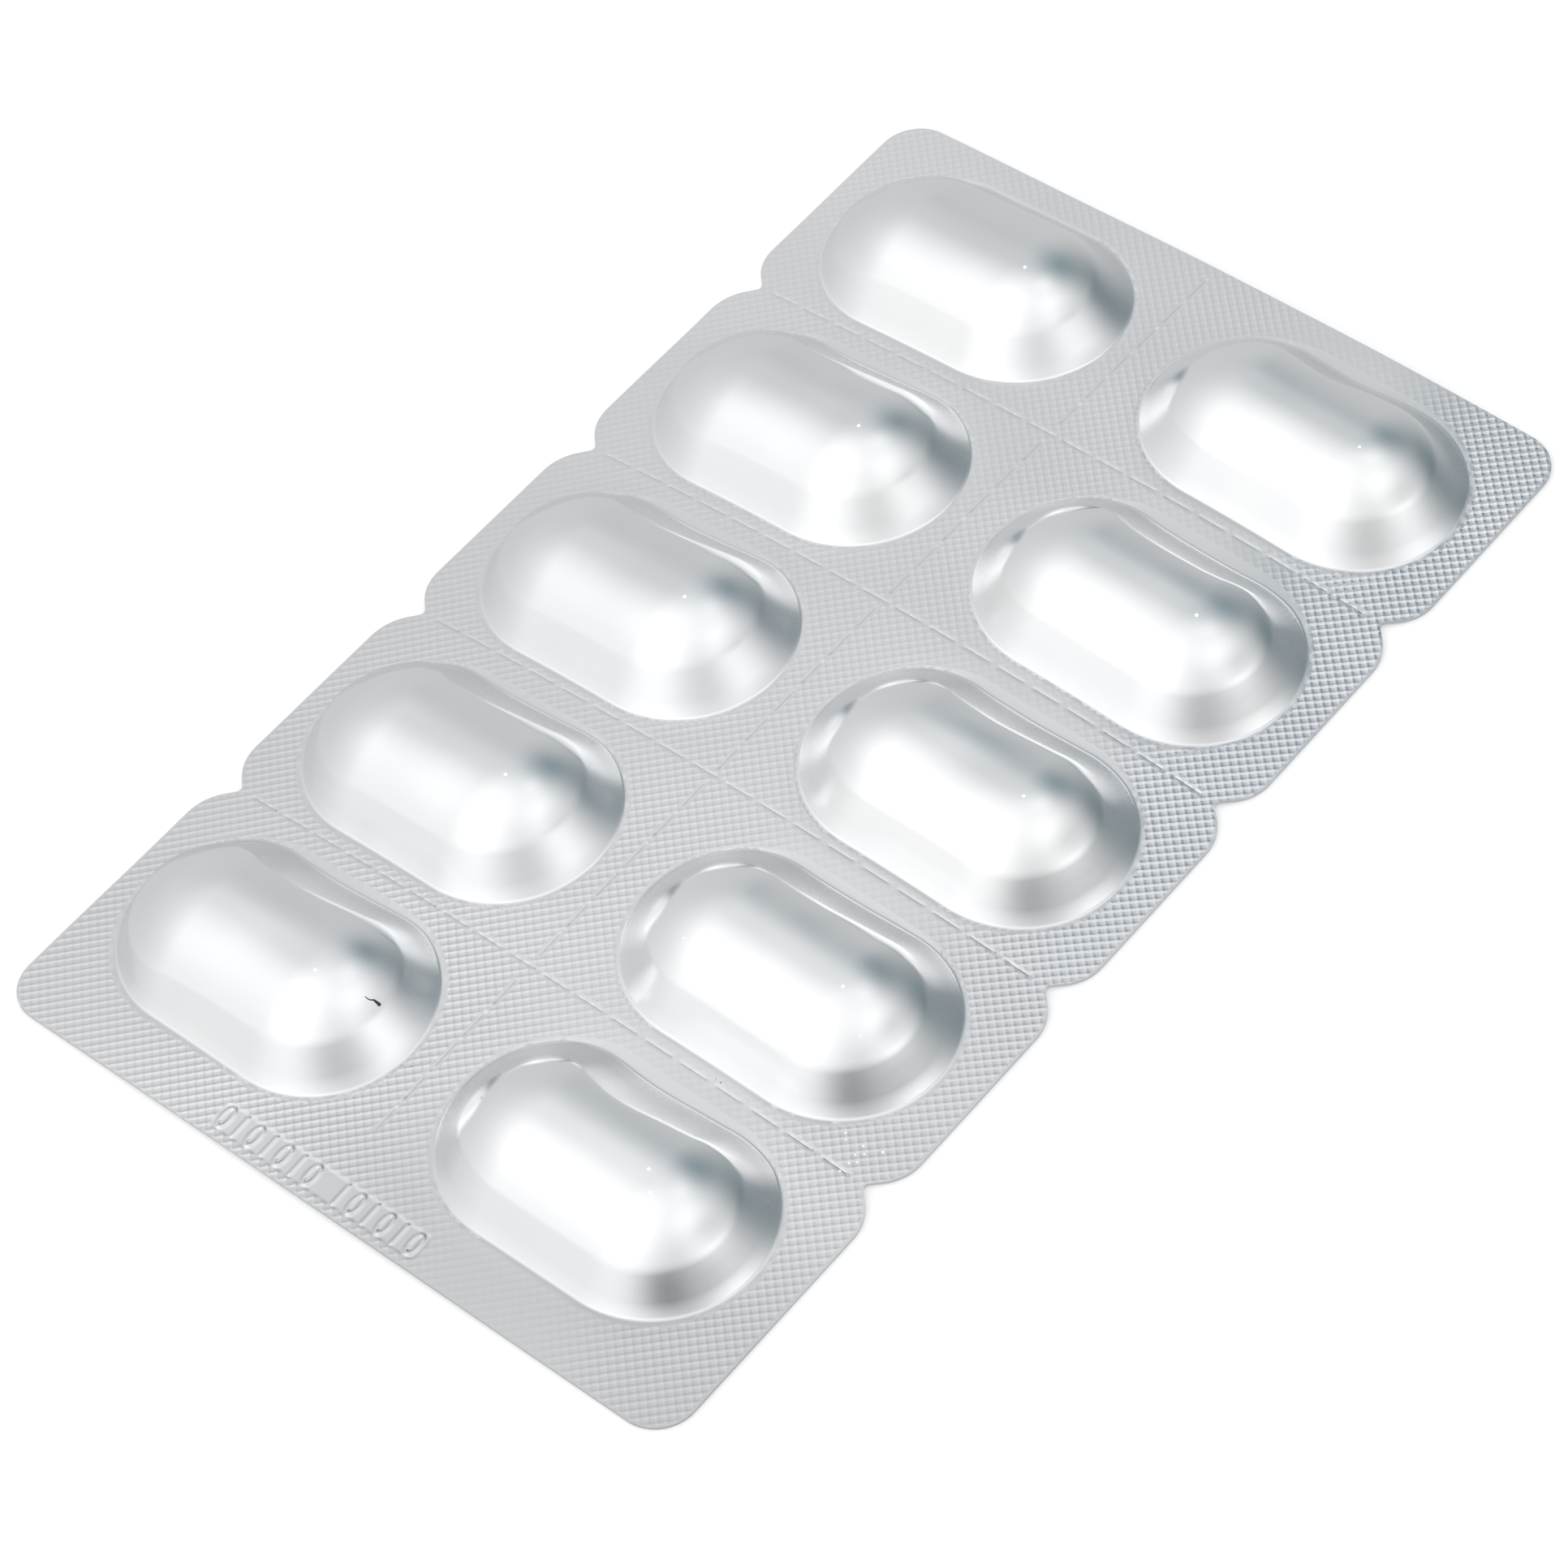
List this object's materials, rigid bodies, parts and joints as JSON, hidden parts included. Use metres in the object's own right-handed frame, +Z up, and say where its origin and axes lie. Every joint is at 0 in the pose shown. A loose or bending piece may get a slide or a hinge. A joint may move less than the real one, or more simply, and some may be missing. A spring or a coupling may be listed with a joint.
{
  "type": "pill blister pack",
  "caption": "Full, sealed cold-formed aluminium blister card: oblong domed pockets in a knurled, gently arched flange with tear perforations, edge notches and rounded corners.",
  "frame": {"origin": "middle of the card's footprint, on the surface that its two long edges stand on", "axes": "+X across the card, +Y along its length, away from the end with the stamped strip, +Z up, the side that the pockets stand out of"},
  "size_m": [0.08, 0.1324, 0.0088],
  "materials": {
    "foil": "satin-bright cold-formed aluminium laminate: smooth on the pockets, finely knurled on the flange"
  },
  "bodies": {
    "root": {"blister_pack": "foil"}
  },
  "joints": []
}
